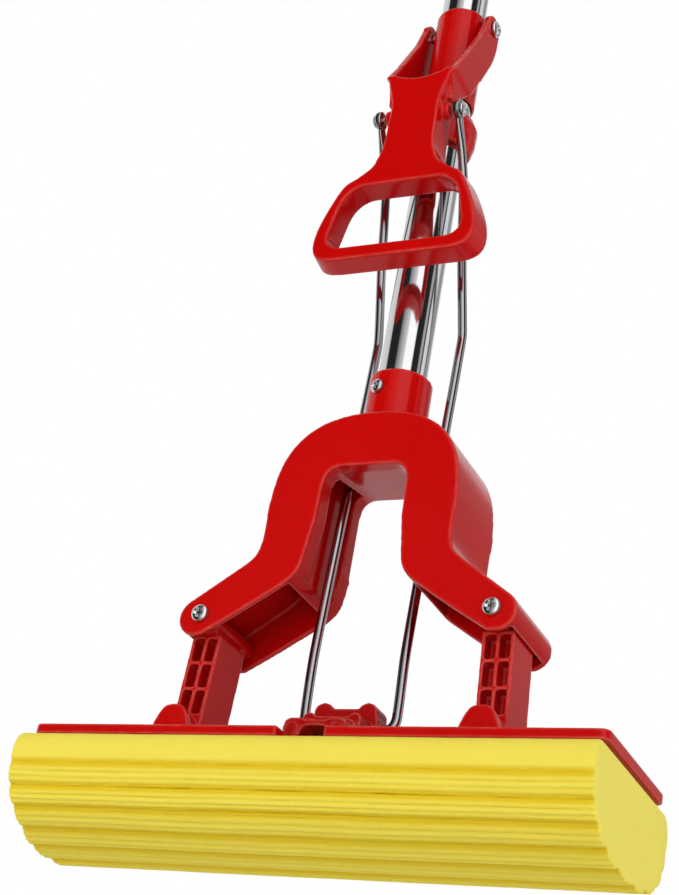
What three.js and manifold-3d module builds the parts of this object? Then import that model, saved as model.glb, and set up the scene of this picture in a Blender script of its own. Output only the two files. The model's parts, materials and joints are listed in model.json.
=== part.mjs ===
// Butterfly sponge mop with a lever wringer, in millimetres, +Z up along the pole.
// X runs along the sponge, -Y is the front, where the lever is. The mop stands on the crown of its sponge.
// Everything above the sponge is drawn from the underside of the plate, and one group lifts it into place.
import * as THREE from 'three';
import { mergeVertices } from 'three/addons/utils/BufferGeometryUtils.js';
import Module from 'manifold-3d';

const wasm = await Module();
wasm.setup();

// ---------------------------------------------------------------- driving dimensions
const GAP = 0.3; // between pieces that touch
const THROUGH = 60; // half length of a cutter that passes right through a piece
const SPONGE_THICK = 46; // crown of the sponge to the plate
const SPONGE_HALF_LENGTH = 138;
const SPONGE_LAND = 11; // half width of the flat strip it stands on
const SPONGE_TOP_HALF = 44;
const SPONGE_SIDE_HALF = 53.3; // at its fullest
const SPONGE_SIDE_Z = -13;
const SPONGE_LOW = { half: 33, z: -41.6 }; // where the sides turn under into the crown

const BACKING_THICK = 1.8;
const BACKING_HALF_DEPTH = 38;
const PLATE_HALF_LENGTH = 138.5;
const PLATE_FRONT_Y = -40.8;
const PLATE_BACK_Y = 42.6;
const PLATE_FLOOR = 3;
const PLATE_RIM = 4.8; // height of the rim above the underside
const RIM_WIDTH = 2.5;
const TRAY_RIBS_X = [102, 120];
const TRAY_RIB_THICK = 1.6;

const HINGE_X = 11; // wing hinge axes, along Y
const HINGE_Z = 8;
const HINGE_PIN_R = 2;
const KNUCKLE_R = 5.6;
const KNUCKLE_HALF = 9; // half length of a wing's barrel along Y
const BLOCK_HALF_DEPTH = 28;
const BLOCK_STEP_Y = 19; // its walls are lower beyond here
const BLOCK_FLOOR = HINGE_Z + KNUCKLE_R + 0.5; // underside of the block over the wings' barrels
const INNER_WALL = { barrelR: 5.4, webTop: HINGE_Z + 8.4, archTop: HINGE_Z + 4.6 };
const END_WALL = { barrelR: 4.6, webTop: HINGE_Z + 5.2, archTop: HINGE_Z + 1.6 };
const CROWN_Y = [-1, 11]; // front and back of the block's crown
const PLATE_INNER_X = 11.5; // where the two plates stop short of the middle

const FOOT = { x: 73.6, z: 66.7 }; // strut's upper pivot in the yoke
const LUG = { x: 75.75, z: 13 }; // strut's lower pivot in the wing
const STRUT_HALF_WIDTH = 7.6;
const STRUT_HALF_DEPTH = 12;
const STRUT_TOP_R = 5.2;
const STRUT_FOOT_R = 6.2;
const LUG_PIN_R = 2.5;
const LUG_INNER_Y = 21.5;
const LUG_OUTER_Y = 25;
const WINDOW = { x0: 48, x1: 86, halfDepth: 21.2 }; // room in the plate for the strut's lower end

const YOKE_FRONT_Y = -22.2;
const YOKE_BACK_Y = 27;
const YOKE_WALL = 3;
const EAR = { x: 75.6, z: 65.6, outerR: 9.6, innerR: 6.6 }; // rounded end of each leg
const EAR_TURN = 0.9; // where the leg's top runs into the ear, radians above the horizontal
const ARCH_FRONT_Z = 142; // ceiling of the arch
const ARCH_BACK_Z = 149;
const ARCH_SIDE_X = 21.5;
const ARCH_FLARE = 2.6; // how much further out each side of the arch is at the back
const SOCKET_R = 15.8;
const SOCKET_TOP = 200;
const SOCKET_FLOOR = 150;
const SCREW_R = 2.5;

const TUBE_R = 12.3;
const TUBE_WALL = 1;
const TUBE_TOP = 640;
const INNER_TUBE_R = 10.9;
const INNER_TUBE_BOTTOM = 222;
const INNER_TUBE_TOP = 800;

const WIRE_R = 2.4;
const WIRE_X = 23.4;
const WIRE_SLOT = { x0: 20.2, x1: 27.5, y0: -10.6, y1: 17, z0: 88, z1: 185 }; // through each leg's top
const BAIL = { y: 5, z: 19 }; // bottom of the wire, inside the hinge block
const ROD_TOP = { y: -31, z: 345 }; // where the wire meets the lever
const ROD_TOP_X = 22;
const EYE_HALF = 1.6; // half thickness of the wire's flattened eyes
const EYE_R = 5;
const EYE_BORE_R = 2.1;

const PIVOT_Z = 425.7; // lever pivot, on the pole's axis
const PIVOT_BORE_R = 2.7;
const SLEEVE_R = 14;
const SLEEVE_BOTTOM = 374;
const SLEEVE_TOP = 434;
const CHEEK_INNER_X = 16.4;
const CHEEK_OUTER_X = 20;
const ROOT_OUTER_X = 18.2; // the cheeks are thinner below, where the wire swings past
const ROOT_TOP_Z = 367;
const LEVER_FRONT_Y = -38.6;
const LEVER_BACK_Y = -20;
const HANDLE_BACK_Y = -23.6;
const HANDLE_FLARE = 0.045; // the handle widens by this share from front to back
const LEVER_WALL = 3.4;
const NECK_HALF = 14;
const NECK_Z = { top: 400, bottom: 312 }; // the hollow neck, down to where the handle opens out
const NECK_LAP_Z = 310; // how far the neck runs down into the handle

const LOCK_BOTTOM = 606;
const LOCK_SPLIT = 646; // fixed sleeve below, turning collar above
const LOCK_TOP = 684;
const GRIP_BOTTOM = 692;
const GRIP_TOP = 806;
const CAP_EYE = { z: 828, r: 6.5, rim: 12 };

// ---------------------------------------------------------------- materials
const red = { color: 0xc80e0c, roughness: 0.25, metalness: 0 };
const yellow = { color: 0xf6e02c, roughness: 0.9, metalness: 0 };
const white = { color: 0xe6e2d4, roughness: 0.6, metalness: 0 };
const chrome = { color: 0xd2d4d8, roughness: 0.12, metalness: 1 };
const steel = { color: 0xb8babd, roughness: 0.3, metalness: 1 };

// ---------------------------------------------------------------- solids
function solid(geometry) {
  const bare = geometry.clone();
  bare.deleteAttribute('normal');
  bare.deleteAttribute('uv');
  const merged = mergeVertices(bare, 1e-4);
  const mesh = new wasm.Mesh({
    numProp: 3,
    vertProperties: new Float32Array(merged.attributes.position.array),
    triVerts: new Uint32Array(merged.index.array),
  });
  return new wasm.Manifold(mesh);
}

function join(...geometries) {
  return surface(geometries.map(solid).reduce((sum, next) => sum.add(next)));
}

function cut(geometry, ...tools) {
  return surface(tools.map(solid).reduce((rest, tool) => rest.subtract(tool), solid(geometry)));
}

function surface(manifold) {
  const mesh = manifold.getMesh();
  const geometry = new THREE.BufferGeometry();
  geometry.setAttribute('position', new THREE.BufferAttribute(new Float32Array(mesh.vertProperties), 3));
  geometry.setIndex(new THREE.BufferAttribute(new Uint32Array(mesh.triVerts), 1));
  return geometry;
}

function mirrored(geometry) {
  const copy = surface(solid(geometry));
  copy.scale(-1, 1, 1);
  const order = copy.index.array;
  for (let i = 0; i < order.length; i += 3) {
    [order[i], order[i + 1]] = [order[i + 1], order[i]];
  }
  return copy;
}

// A shape drawn in x and z, standing between two values of y.
function slabY(shape, y0, y1, curveSegments = 8) {
  const geometry = new THREE.ExtrudeGeometry(shape, { depth: y1 - y0, bevelEnabled: false, curveSegments });
  geometry.rotateX(Math.PI / 2);
  return geometry.translate(0, y1, 0);
}

// A shape drawn in y and z, standing between two values of x.
function slabX(shape, x0, x1, curveSegments = 8) {
  const geometry = new THREE.ExtrudeGeometry(shape, { depth: x1 - x0, bevelEnabled: false, curveSegments });
  const turn = new THREE.Matrix4().makeBasis(
    new THREE.Vector3(0, 1, 0),
    new THREE.Vector3(0, 0, 1),
    new THREE.Vector3(1, 0, 0),
  );
  return geometry.applyMatrix4(turn).translate(x0, 0, 0);
}

function box(x0, x1, y0, y1, z0, z1) {
  const geometry = new THREE.BoxGeometry(x1 - x0, y1 - y0, z1 - z0);
  return geometry.translate((x0 + x1) / 2, (y0 + y1) / 2, (z0 + z1) / 2);
}

function rodX(r, x0, x1, y, z, sides = 24) {
  const geometry = new THREE.CylinderGeometry(r, r, x1 - x0, sides);
  return geometry.rotateZ(Math.PI / 2).translate((x0 + x1) / 2, y, z);
}

function rodY(r, y0, y1, x, z, sides = 24) {
  return new THREE.CylinderGeometry(r, r, y1 - y0, sides).translate(x, (y0 + y1) / 2, z);
}

function rodZ(r, z0, z1, x, y, sides = 32) {
  const rod = new THREE.CylinderGeometry(r, r, z1 - z0, sides).rotateX(Math.PI / 2);
  return rod.translate(x, y, (z0 + z1) / 2);
}

// A closed ring profile of [radius, height] pairs turned around the pole's axis.
function turned(profile, sides = 32) {
  const points = [...profile, profile[0]].map(([r, h]) => new THREE.Vector2(r, h));
  return new THREE.LatheGeometry(points, sides).rotateX(Math.PI / 2);
}

function ring(innerR, outerR, z0, z1, chamfer = 0) {
  const profile = [[innerR, z0], [outerR - chamfer, z0], [outerR, z0 + chamfer]];
  profile.push([outerR, z1 - chamfer], [outerR - chamfer, z1], [innerR, z1]);
  return turned(profile);
}

// A screw or pin with a domed head, its axis along +Z and its head's seat at z = 0.
function screw(shankR, shankLength, headR, headHeight) {
  const points = [[0, -shankLength], [shankR, -shankLength], [shankR, 0], [headR, 0]];
  points.push([headR, headHeight * 0.4], [headR * 0.75, headHeight * 0.85], [0, headHeight]);
  const profile = points.map(([r, h]) => new THREE.Vector2(r, h));
  return new THREE.LatheGeometry(profile, 20).rotateX(Math.PI / 2);
}

function along(points) {
  return points.map(([a, b]) => new THREE.Vector2(a, b));
}

// ---------------------------------------------------------------- sponge and backing
function spongeHalf() {
  const section = new THREE.Shape();
  const side = SPONGE_SIDE_HALF;
  const top = -BACKING_THICK - GAP;
  const bottom = -SPONGE_THICK;
  const { half, z } = SPONGE_LOW;
  section.moveTo(-SPONGE_TOP_HALF, top);
  section.quadraticCurveTo(-side, top, -side, SPONGE_SIDE_Z);
  section.bezierCurveTo(-side, -29, -47, -37, -half, z);
  section.quadraticCurveTo(-SPONGE_LAND - 9, bottom + 0.2, -SPONGE_LAND, bottom);
  section.lineTo(SPONGE_LAND, bottom);
  section.quadraticCurveTo(SPONGE_LAND + 9, bottom + 0.2, half, z);
  section.bezierCurveTo(47, -37, side, -29, side, SPONGE_SIDE_Z);
  section.quadraticCurveTo(side, top, SPONGE_TOP_HALF, top);
  return slabX(section, GAP, SPONGE_HALF_LENGTH, 6);
}

function backing() {
  const [x0, x1] = [PLATE_INNER_X + 1, PLATE_HALF_LENGTH - 3];
  const sheet = box(x0, x1, -BACKING_HALF_DEPTH, BACKING_HALF_DEPTH, -BACKING_THICK, -GAP / 2);
  const { halfDepth } = WINDOW;
  return cut(sheet, box(WINDOW.x0, WINDOW.x1, -halfDepth, halfDepth, -THROUGH, THROUGH));
}

// ---------------------------------------------------------------- wings
function plateOutline() {
  const outline = new THREE.Shape();
  const x0 = PLATE_INNER_X;
  const x1 = PLATE_HALF_LENGTH;
  const y0 = PLATE_FRONT_Y;
  const y1 = PLATE_BACK_Y;
  const corner = 4;
  outline.moveTo(x0, y0);
  outline.lineTo(x1 - corner, y0);
  outline.absarc(x1 - corner, y0 + corner, corner, -Math.PI / 2, 0);
  outline.lineTo(x1, y1 - corner);
  outline.absarc(x1 - corner, y1 - corner, corner, 0, Math.PI / 2);
  outline.lineTo(x0, y1);
  return outline;
}

function lugShape() {
  const outline = new THREE.Shape();
  outline.moveTo(LUG.x - 11.5, PLATE_FLOOR - 1);
  outline.lineTo(LUG.x - 10.5, PLATE_RIM + 3);
  outline.quadraticCurveTo(LUG.x - 7, LUG.z + 6, LUG.x - 4, LUG.z + 7.2);
  outline.quadraticCurveTo(LUG.x, LUG.z + 8.4, LUG.x + 4, LUG.z + 7.2);
  outline.quadraticCurveTo(LUG.x + 7, LUG.z + 6, LUG.x + 10.5, PLATE_RIM + 3);
  outline.lineTo(LUG.x + 11.5, PLATE_FLOOR - 1);
  return outline;
}

function wing() {
  const options = { depth: PLATE_RIM, bevelEnabled: false, curveSegments: 4 };
  const sheet = new THREE.ExtrudeGeometry(plateOutline(), options);
  const trayEnd = PLATE_HALF_LENGTH - RIM_WIDTH;
  const trayFront = PLATE_FRONT_Y + RIM_WIDTH;
  const trayBack = PLATE_BACK_Y - RIM_WIDTH;
  const notch = BLOCK_HALF_DEPTH + 0.8;
  const above = PLATE_RIM + 5;
  const { x0, x1, halfDepth } = WINDOW;
  const cuts = [
    box(22, x0 - 3, trayFront, trayBack, PLATE_FLOOR, above),
    box(x1 + 4, trayEnd, trayFront, trayBack, PLATE_FLOOR, above),
    box(x0, x1, -halfDepth, halfDepth, -1, above),
    box(-1, 19, -notch, notch, -1, above),
  ];
  const parts = [
    box(18, 24, -KNUCKLE_HALF, KNUCKLE_HALF, 0, PLATE_RIM + 2),
    box(HINGE_X, 20, -KNUCKLE_HALF, KNUCKLE_HALF, HINGE_Z - KNUCKLE_R, HINGE_Z - 0.6),
    rodY(KNUCKLE_R, -KNUCKLE_HALF, KNUCKLE_HALF, HINGE_X, HINGE_Z),
    slabY(lugShape(), -LUG_OUTER_Y, -LUG_INNER_Y, 4),
    slabY(lugShape(), LUG_INNER_Y, LUG_OUTER_Y, 4),
  ];
  for (const x of TRAY_RIBS_X) {
    parts.push(box(x, x + TRAY_RIB_THICK, trayFront - 1, trayBack + 1, 1, PLATE_RIM - 0.5));
  }
  const bore = rodY(HINGE_PIN_R + GAP, -THROUGH, THROUGH, HINGE_X, HINGE_Z);
  return cut(join(cut(sheet, ...cuts), ...parts), bore);
}

// The pin turns with the strut and stops just short of the lugs' inner faces.
function lugPin() {
  return rodY(LUG_PIN_R, -LUG_INNER_Y + GAP, LUG_INNER_Y - GAP, LUG.x, LUG.z, 20);
}

// ---------------------------------------------------------------- hinge block and its pins
// The crown that holds the wire: two round lobes with a flat saddle between them.
function blockCrown() {
  const outline = new THREE.Shape();
  const lobeX = 11;
  const lobeZ = 25.6;
  const lobeR = 5;
  const half = 17;
  const saddle = 0.45; // where each lobe meets the saddle, radians above the horizontal
  outline.moveTo(-half, BLOCK_FLOOR);
  outline.lineTo(half, BLOCK_FLOOR);
  outline.quadraticCurveTo(half, lobeZ - 3, lobeX + lobeR, lobeZ - 1);
  outline.absarc(lobeX, lobeZ, lobeR, -0.2, Math.PI - saddle);
  outline.lineTo(-lobeX + lobeR * Math.cos(saddle), lobeZ + lobeR * Math.sin(saddle));
  outline.absarc(-lobeX, lobeZ, lobeR, saddle, Math.PI + 0.2);
  outline.quadraticCurveTo(-half, lobeZ - 3, -half, BLOCK_FLOOR);
  return outline;
}

// A lower step of the block in front of and behind the crown.
function blockStep() {
  const outline = new THREE.Shape();
  const lobeX = 11.2;
  const lobeZ = 17.8;
  const lobeR = 3.4;
  const saddle = 0.5;
  outline.moveTo(-lobeX - lobeR, BLOCK_FLOOR);
  outline.lineTo(lobeX + lobeR, BLOCK_FLOOR);
  outline.lineTo(lobeX + lobeR, lobeZ);
  outline.absarc(lobeX, lobeZ, lobeR, 0, Math.PI - saddle);
  outline.lineTo(-lobeX + lobeR * Math.cos(saddle), lobeZ + lobeR * Math.sin(saddle));
  outline.absarc(-lobeX, lobeZ, lobeR, saddle, Math.PI);
  return outline;
}

// A wall of the block around both hinge pins, arched underneath.
function blockWall({ barrelR, webTop, archTop }) {
  const outline = new THREE.Shape();
  const reach = HINGE_X + barrelR;
  outline.moveTo(HINGE_X - barrelR, HINGE_Z);
  outline.absarc(HINGE_X, HINGE_Z, barrelR, Math.PI, 2 * Math.PI);
  outline.bezierCurveTo(reach, HINGE_Z + barrelR, HINGE_X + 3, webTop, HINGE_X - 1, webTop);
  outline.quadraticCurveTo(6, webTop, 4.5, webTop - 1);
  outline.lineTo(-4.5, webTop - 1);
  outline.quadraticCurveTo(-6, webTop, -HINGE_X + 1, webTop);
  outline.bezierCurveTo(-HINGE_X - 3, webTop, -reach, HINGE_Z + barrelR, -reach, HINGE_Z);
  outline.absarc(-HINGE_X, HINGE_Z, barrelR, Math.PI, 2 * Math.PI);
  outline.quadraticCurveTo(-HINGE_X + barrelR, archTop, 0, archTop);
  outline.quadraticCurveTo(HINGE_X - barrelR, archTop, HINGE_X - barrelR, HINGE_Z);
  return outline;
}

function hingeBlock() {
  const inner = KNUCKLE_HALF + 0.5;
  const crown = slabY(blockCrown(), CROWN_Y[0], CROWN_Y[1], 6);
  const stepLap = 4; // how far the step runs over each wall
  const step = slabY(blockStep(), -inner - stepLap, inner + stepLap, 5);
  const walls = [];
  for (const side of [-1, 1]) {
    const [inside, middle, outside] = [inner, BLOCK_STEP_Y, BLOCK_HALF_DEPTH].map((y) => y * side);
    walls.push(slabY(blockWall(INNER_WALL), Math.min(inside, middle), Math.max(inside, middle), 6));
    walls.push(slabY(blockWall(END_WALL), Math.min(middle, outside), Math.max(middle, outside), 6));
  }
  const bore = rodX(WIRE_R + 0.35, -THROUGH, THROUGH, BAIL.y, BAIL.z, 20);
  const pins = [-HINGE_X, HINGE_X].map((x) => rodY(HINGE_PIN_R + GAP, -THROUGH, THROUGH, x, HINGE_Z, 20));
  return cut(join(crown, step, ...walls), bore, ...pins);
}

function hingePin() {
  const half = BLOCK_HALF_DEPTH - 0.6;
  return rodY(HINGE_PIN_R, -half, half, HINGE_X, HINGE_Z, 20);
}

// ---------------------------------------------------------------- struts
const STRUT_LENGTH = Math.hypot(LUG.x - FOOT.x, LUG.z - FOOT.z);
const STRUT_LEAN = Math.atan2(LUG.x - FOOT.x, FOOT.z - LUG.z);

// Drawn hanging straight down from its upper pivot, then leaned outwards.
function strut() {
  const w = STRUT_HALF_WIDTH;
  const front = -STRUT_HALF_DEPTH;
  const back = STRUT_HALF_DEPTH + 1;
  const top = -6.5;
  const bottom = -STRUT_LENGTH + 1;
  const endPlay = 0.6;
  const barrelFront = YOKE_FRONT_Y + YOKE_WALL + endPlay;
  const barrelBack = YOKE_BACK_Y - YOKE_WALL - endPlay;
  const footHalf = LUG_INNER_Y - endPlay;
  const rib = 1.6;
  const pocketDepth = 8;
  const flatZ = 0.4 - STRUT_LENGTH - STRUT_FOOT_R; // a small flat under the lower barrel
  const bar = box(-w, w, front, back, bottom, top);
  const stem = box(-4.8, 4.8, front, back, top - 1, 0);
  const topBarrel = rodY(STRUT_TOP_R, barrelFront, barrelBack, 0, 0);
  const footBarrel = rodY(STRUT_FOOT_R, -footHalf, footHalf, 0, -STRUT_LENGTH);
  const cuts = [
    rodY(SCREW_R + GAP, -THROUGH, THROUGH, 0, 0),
    rodY(LUG_PIN_R + GAP, -THROUGH, THROUGH, 0, -STRUT_LENGTH),
    box(-THROUGH, THROUGH, -THROUGH, THROUGH, -STRUT_LENGTH - 20, flatZ),
  ];
  const rows = 3;
  const rowHeight = (top - bottom - 7) / rows;
  for (let row = 0; row < rows; row += 1) {
    const z1 = top - rib - row * rowHeight;
    const z0 = z1 - rowHeight + rib;
    for (const [x0, x1] of [[-w + rib, -rib / 2], [rib / 2, w - rib]]) {
      cuts.push(box(x0, x1, front - 1, front + pocketDepth, z0, z1));
      cuts.push(box(x0, x1, back - pocketDepth, back + 1, z0, z1));
    }
  }
  const body = cut(join(bar, stem, topBarrel, footBarrel), ...cuts);
  return body.rotateY(-STRUT_LEAN).translate(FOOT.x, 0, FOOT.z);
}

// ---------------------------------------------------------------- yoke
function yokeOutline() {
  const outline = new THREE.Shape();
  const outer = along([[27.3, 166.7], [35, 161.5], [41.7, 153.7], [46.3, 143], [48.6, 128], [48.7, 114]]);
  const shoulder = along([[48.7, 104], [50.6, 97], [55, 92.4]]);
  outline.moveTo(0, 171.7);
  outline.lineTo(6, 171.7);
  outline.quadraticCurveTo(18, 170.8, 27.3, 166.7);
  outline.splineThru(outer.slice(1));
  outline.splineThru(shoulder);
  outline.lineTo(EAR.x + EAR.outerR * Math.cos(EAR_TURN), EAR.z + EAR.outerR * Math.sin(EAR_TURN));
  outline.absarc(EAR.x, EAR.z, EAR.outerR, EAR_TURN, -2.0, true);
  outline.lineTo(54, 67.6);
  outline.lineTo(33.5, 81);
  outline.quadraticCurveTo(26, 86, 25, 94.5);
  outline.lineTo(22.2, 115);
  outline.lineTo(21.8, 133);
  outline.quadraticCurveTo(21.4, 143, 12.5, 143);
  outline.lineTo(0, 143);
  return outline;
}

// The hollow of one leg, open underneath, with a wall left on the outside and around the arch.
function legHollow() {
  const outline = new THREE.Shape();
  outline.moveTo(EAR.x + EAR.innerR, 40);
  outline.lineTo(EAR.x + EAR.innerR, EAR.z);
  outline.absarc(EAR.x, EAR.z, EAR.innerR, 0, EAR_TURN);
  outline.lineTo(53, 90.2);
  outline.quadraticCurveTo(45.7, 96, 45.7, 106);
  outline.lineTo(45.6, 127);
  outline.quadraticCurveTo(44, 147, 35, 156);
  outline.quadraticCurveTo(30.6, 157, 30.6, 149);
  outline.lineTo(30.6, 96);
  outline.lineTo(32, 88);
  outline.lineTo(32, 40);
  return outline;
}

// The arch opens out towards the back, upwards and to each side.
function archFlare() {
  const outline = new THREE.Shape();
  outline.moveTo(-30, -44);
  outline.lineTo(0, -44);
  outline.lineTo(0, -10);
  outline.quadraticCurveTo(0, 0, -9, 0);
  outline.lineTo(-30, 0);
  const depth = YOKE_BACK_Y - YOKE_FRONT_Y;
  const tool = slabY(outline, -2, depth + 20, 6);
  tool.rotateX(Math.atan2(ARCH_BACK_Z - ARCH_FRONT_Z, depth));
  tool.rotateZ(-Math.atan2(ARCH_FLARE, depth));
  return tool.translate(ARCH_SIDE_X, YOKE_FRONT_Y, ARCH_FRONT_Z);
}

function yoke() {
  const half = slabY(yokeOutline(), YOKE_FRONT_Y, YOKE_BACK_Y, 6);
  const hollow = slabY(legHollow(), YOKE_FRONT_Y + YOKE_WALL, YOKE_BACK_Y - YOKE_WALL, 6);
  const { x0, x1, y0, y1, z0, z1 } = WIRE_SLOT;
  const slot = box(x0, x1, y0, y1, z0, z1);
  const leg = cut(half, hollow, archFlare(), slot);
  const socket = rodZ(SOCKET_R, SOCKET_FLOOR, SOCKET_TOP, 0, 0, 40);
  const cuts = [
    rodZ(TUBE_R + GAP, SOCKET_FLOOR, SOCKET_TOP + 5, 0, 0, 40),
    socketScrewBore(),
  ];
  for (const side of [-1, 1]) {
    cuts.push(rodY(SCREW_R + GAP, -THROUGH, THROUGH, side * FOOT.x, FOOT.z));
  }
  return cut(join(leg, mirrored(leg), socket), ...cuts);
}

// The socket's screw sits a little to the left of the middle of its front.
const SOCKET_SCREW_TURN = -0.31;
const SOCKET_SCREW_Z = 190;
const SOCKET_SCREW_R = 1.7;

function aimAtSocket(geometry, radius) {
  geometry.rotateX(Math.PI / 2).translate(0, -radius, 0);
  return geometry.rotateZ(SOCKET_SCREW_TURN).translate(0, 0, SOCKET_SCREW_Z);
}

function socketScrewBore() {
  const r = SOCKET_SCREW_R + 0.4;
  return aimAtSocket(new THREE.CylinderGeometry(r, r, 10, 20).rotateX(Math.PI / 2), SOCKET_R);
}

function socketScrew() {
  return aimAtSocket(screw(SOCKET_SCREW_R, 2.6, 3.7, 2.6), SOCKET_R + GAP);
}

function footScrew() {
  const reach = YOKE_BACK_Y - YOKE_FRONT_Y + 4.6;
  const geometry = screw(SCREW_R, reach, 4.4, 2.8);
  return geometry.rotateX(Math.PI / 2).translate(FOOT.x, YOKE_FRONT_Y - GAP, FOOT.z);
}

function footNut() {
  const seat = YOKE_BACK_Y + GAP;
  const nut = rodY(4.6, seat, seat + 3.6, FOOT.x, FOOT.z, 6);
  return cut(nut, rodY(SCREW_R + GAP, -THROUGH, THROUGH, FOOT.x, FOOT.z));
}

// ---------------------------------------------------------------- pull rod
// One leg of the wire from the bail's end upwards, as [x, y, z] on its centre line.
const WIRE_LEG = [
  [4, BAIL.y, BAIL.z],
  [WIRE_X - 6, BAIL.y, BAIL.z],
  [WIRE_X - 1.5, BAIL.y, BAIL.z + 1.6],
  [WIRE_X, BAIL.y, BAIL.z + 6.5],
  [WIRE_X, BAIL.y - 0.6, BAIL.z + 16],
  [WIRE_X, 3.4, 52],
  [WIRE_X, 3.6, 64],
  [WIRE_X, 7.6, 147],
  [WIRE_X, 11.6, 226],
  [WIRE_X, 11.4, 234],
  [WIRE_X - 0.2, 9.4, 241],
  [WIRE_X - 0.8, -1, 272],
  [ROD_TOP_X, -13, 314],
  [ROD_TOP_X, -22, 330],
  [ROD_TOP_X, -28.6, 341],
];

function pullRod() {
  const right = WIRE_LEG.map(([x, y, z]) => new THREE.Vector3(x, y, z));
  const left = WIRE_LEG.map(([x, y, z]) => new THREE.Vector3(-x, y, z)).reverse();
  const path = new THREE.CatmullRomCurve3([...left, ...right], false, 'centripetal');
  const section = new THREE.Shape().absarc(0, 0, WIRE_R, 0, 2 * Math.PI);
  const wire = new THREE.ExtrudeGeometry(section, { steps: 92, extrudePath: path, curveSegments: 4 });
  const parts = [wire];
  const holes = [];
  for (const side of [-1, 1]) {
    const x = side * ROD_TOP_X;
    parts.push(rodX(EYE_R, x - EYE_HALF, x + EYE_HALF, ROD_TOP.y, ROD_TOP.z, 20));
    holes.push(rodX(EYE_BORE_R, x - EYE_R, x + EYE_R, ROD_TOP.y, ROD_TOP.z, 20));
  }
  return cut(join(...parts), ...holes);
}

function rodScrew() {
  const outer = ROD_TOP_X + EYE_HALF + GAP;
  const geometry = screw(1.8, outer - ROOT_OUTER_X - 0.5, 3.7, 2.2);
  return geometry.rotateY(Math.PI / 2).translate(outer, ROD_TOP.y, ROD_TOP.z);
}

// ---------------------------------------------------------------- lever
function leverFace() {
  const outline = new THREE.Shape();
  const shoulder = [[15.8, 314.5], [18.6, 309], [25.6, 303.2], [32.4, 298.6]];
  const right = along([...shoulder, [38.2, 287], [42.6, 274.5], [44.2, 265.5]]);
  outline.moveTo(-17.8, 367.4);
  outline.lineTo(-15, 369.4);
  outline.bezierCurveTo(-11, 366.4, -6, 364.8, 0, 364.8);
  outline.bezierCurveTo(6, 364.8, 11, 366.4, 15, 369.4);
  outline.lineTo(17.8, 367.4);
  outline.bezierCurveTo(17.8, 360, NECK_HALF, 356, 13.6, 346);
  outline.lineTo(13.6, 328);
  outline.quadraticCurveTo(13.8, 319, 15.8, 314.5);
  outline.splineThru(right.slice(1));
  outline.quadraticCurveTo(44.6, 252.8, 32, 252.8);
  outline.lineTo(-32, 252.8);
  outline.quadraticCurveTo(-44.6, 252.8, -44.2, 265.5);
  outline.splineThru(right.slice(0, -1).reverse().map((p) => new THREE.Vector2(-p.x, p.y)));
  outline.quadraticCurveTo(-13.8, 319, -13.6, 328);
  outline.lineTo(-13.6, 346);
  outline.bezierCurveTo(-NECK_HALF, 356, -17.8, 360, -17.8, 367.4);
  return outline;
}

function handHole() {
  const outline = new THREE.Shape();
  outline.moveTo(-27, 260.2);
  outline.lineTo(27, 260.2);
  outline.quadraticCurveTo(37.4, 260.2, 36.2, 270);
  outline.lineTo(33, 285);
  outline.quadraticCurveTo(30, 296.8, 20, 297.8);
  outline.lineTo(-20, 297.8);
  outline.quadraticCurveTo(-30, 296.8, -33, 285);
  outline.lineTo(-36.2, 270);
  outline.quadraticCurveTo(-37.4, 260.2, -27, 260.2);
  return outline;
}

// Widens a slab towards its back, leaving its front face as it is.
function flared(geometry) {
  const position = geometry.attributes.position;
  for (let i = 0; i < position.count; i += 1) {
    const share = (position.getY(i) - LEVER_FRONT_Y) / (HANDLE_BACK_Y - LEVER_FRONT_Y);
    position.setX(i, position.getX(i) * (1 + HANDLE_FLARE * share));
  }
  return geometry;
}

// A cheek of the lever, drawn in y and z: a broad arm from the neck back up to the pivot.
function cheekShape() {
  const outline = new THREE.Shape();
  outline.moveTo(LEVER_FRONT_Y, 368);
  outline.lineTo(-27, 386.5);
  outline.lineTo(-13.6, 411);
  outline.lineTo(-7.8, PIVOT_Z + 0.5);
  outline.absarc(0, PIVOT_Z, 7.9, Math.PI - 0.1, -0.2, true);
  outline.quadraticCurveTo(8.2, 411, 1, 398);
  outline.lineTo(-11, 374);
  outline.quadraticCurveTo(-16, 364, -23, 358.5);
  outline.quadraticCurveTo(-29, 353.5, -33, 352.5);
  outline.lineTo(-35.5, 360);
  return outline;
}

// The cheek's outer face steps in at the root, so the wire has room beside it.
function cheek() {
  const slab = slabX(cheekShape(), CHEEK_INNER_X, CHEEK_OUTER_X, 6);
  const relief = box(ROOT_OUTER_X, CHEEK_OUTER_X + 1, -THROUGH, 0, 340, ROOT_TOP_Z);
  return cut(slab, relief);
}

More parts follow.
